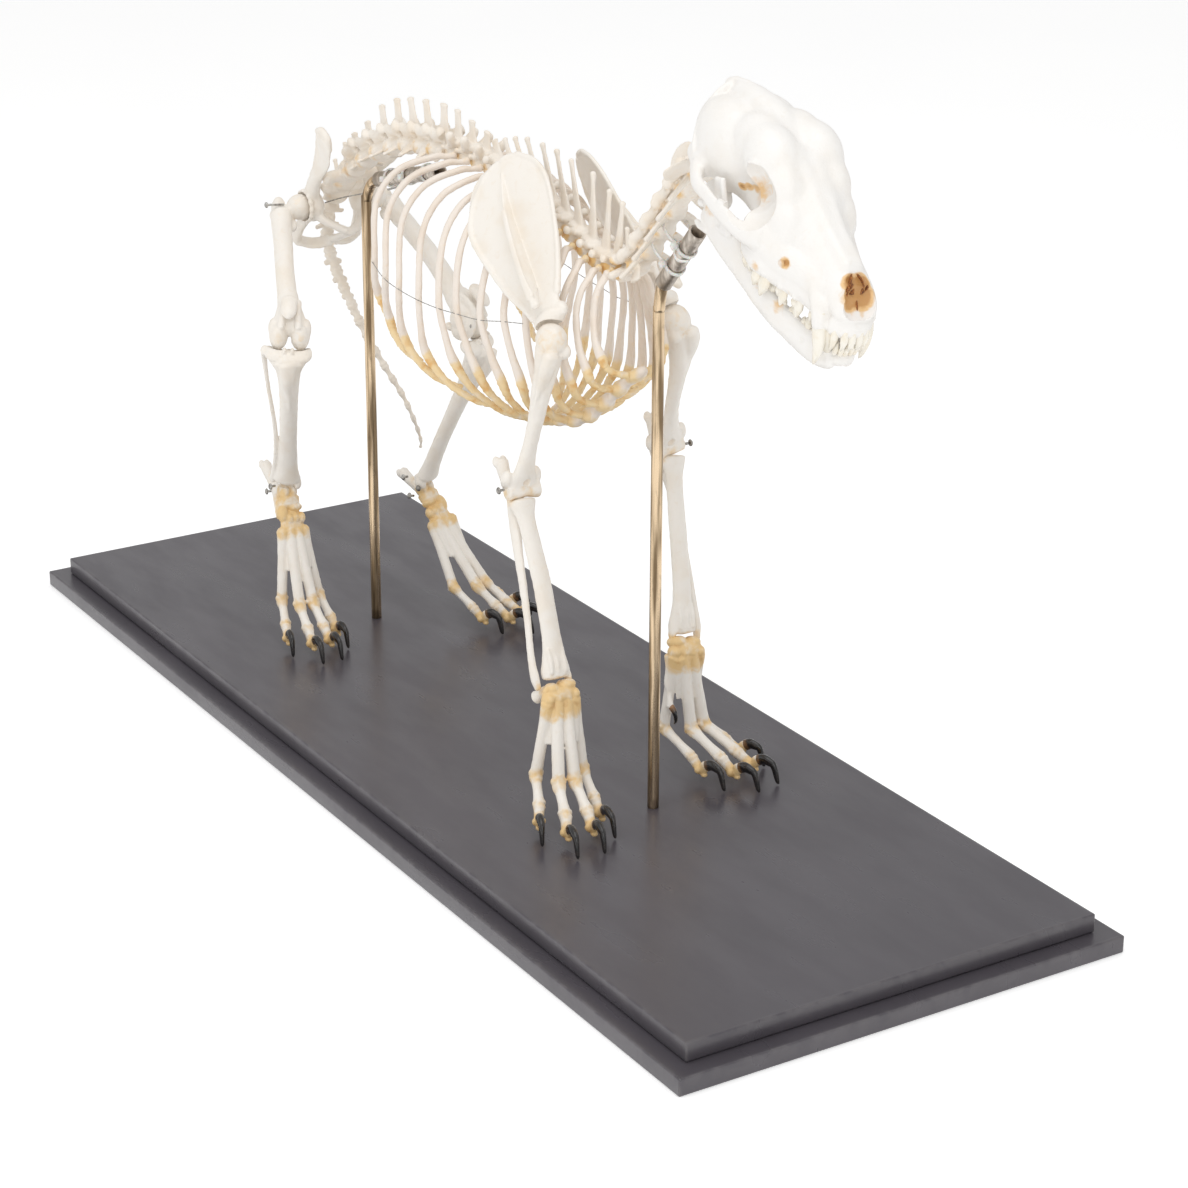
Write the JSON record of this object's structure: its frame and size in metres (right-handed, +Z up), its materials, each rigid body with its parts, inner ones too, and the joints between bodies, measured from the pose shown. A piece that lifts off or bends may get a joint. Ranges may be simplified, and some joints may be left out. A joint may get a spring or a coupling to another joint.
{
  "type": "mounted dog skeleton",
  "caption": "Articulated dog skeleton standing on a two-tier rectangular base, carried by two upright posts under the spine.",
  "frame": {"origin": "centre of the base's underside, on the surface that it stands on", "axes": "+X the way the dog faces, along the base's long side; +Y to the dog's left; +Z up"},
  "size_m": [1.0294, 0.366, 0.5886],
  "materials": {
    "bone": "satin",
    "lacquer": "satin lacquer",
    "brass": "satin",
    "steel": "brushed"
  },
  "bodies": {
    "root": {"base_lower_board": "lacquer", "base_upper_board": "lacquer", "rear_post": "brass", "front_post": "brass", "rear_tube": "steel", "front_tube": "steel", "skull": "bone", "mandible": "bone", "cervical_spine": "bone", "thoracic_spine": "bone", "lumbar_spine": "bone", "sacrum": "bone", "tail": "bone", "sternum": "bone", "pelvis": "bone", "right_rib_01": "bone", "right_rib_02": "bone", "right_rib_03": "bone", "right_rib_04": "bone", "right_rib_05": "bone", "right_rib_06": "bone", "right_rib_07": "bone", "right_rib_08": "bone", "right_rib_09": "bone", "right_rib_10": "bone", "right_rib_11": "bone", "right_rib_12": "bone", "right_rib_13": "bone", "left_rib_01": "bone", "left_rib_02": "bone", "left_rib_03": "bone", "left_rib_04": "bone", "left_rib_05": "bone", "left_rib_06": "bone", "left_rib_07": "bone", "left_rib_08": "bone", "left_rib_09": "bone", "left_rib_10": "bone", "left_rib_11": "bone", "left_rib_12": "bone", "left_rib_13": "bone", "right_scapula": "bone", "right_humerus": "bone", "right_radius": "bone", "right_ulna": "bone", "right_forepaw": "bone", "right_femur": "bone", "right_patella": "bone", "right_tibia": "bone", "right_hindpaw": "bone", "left_scapula": "bone", "left_humerus": "bone", "left_radius": "bone", "left_ulna": "bone", "left_forepaw": "bone", "left_femur": "bone", "left_patella": "bone", "left_tibia": "bone", "left_hindpaw": "bone"}
  },
  "joints": []
}
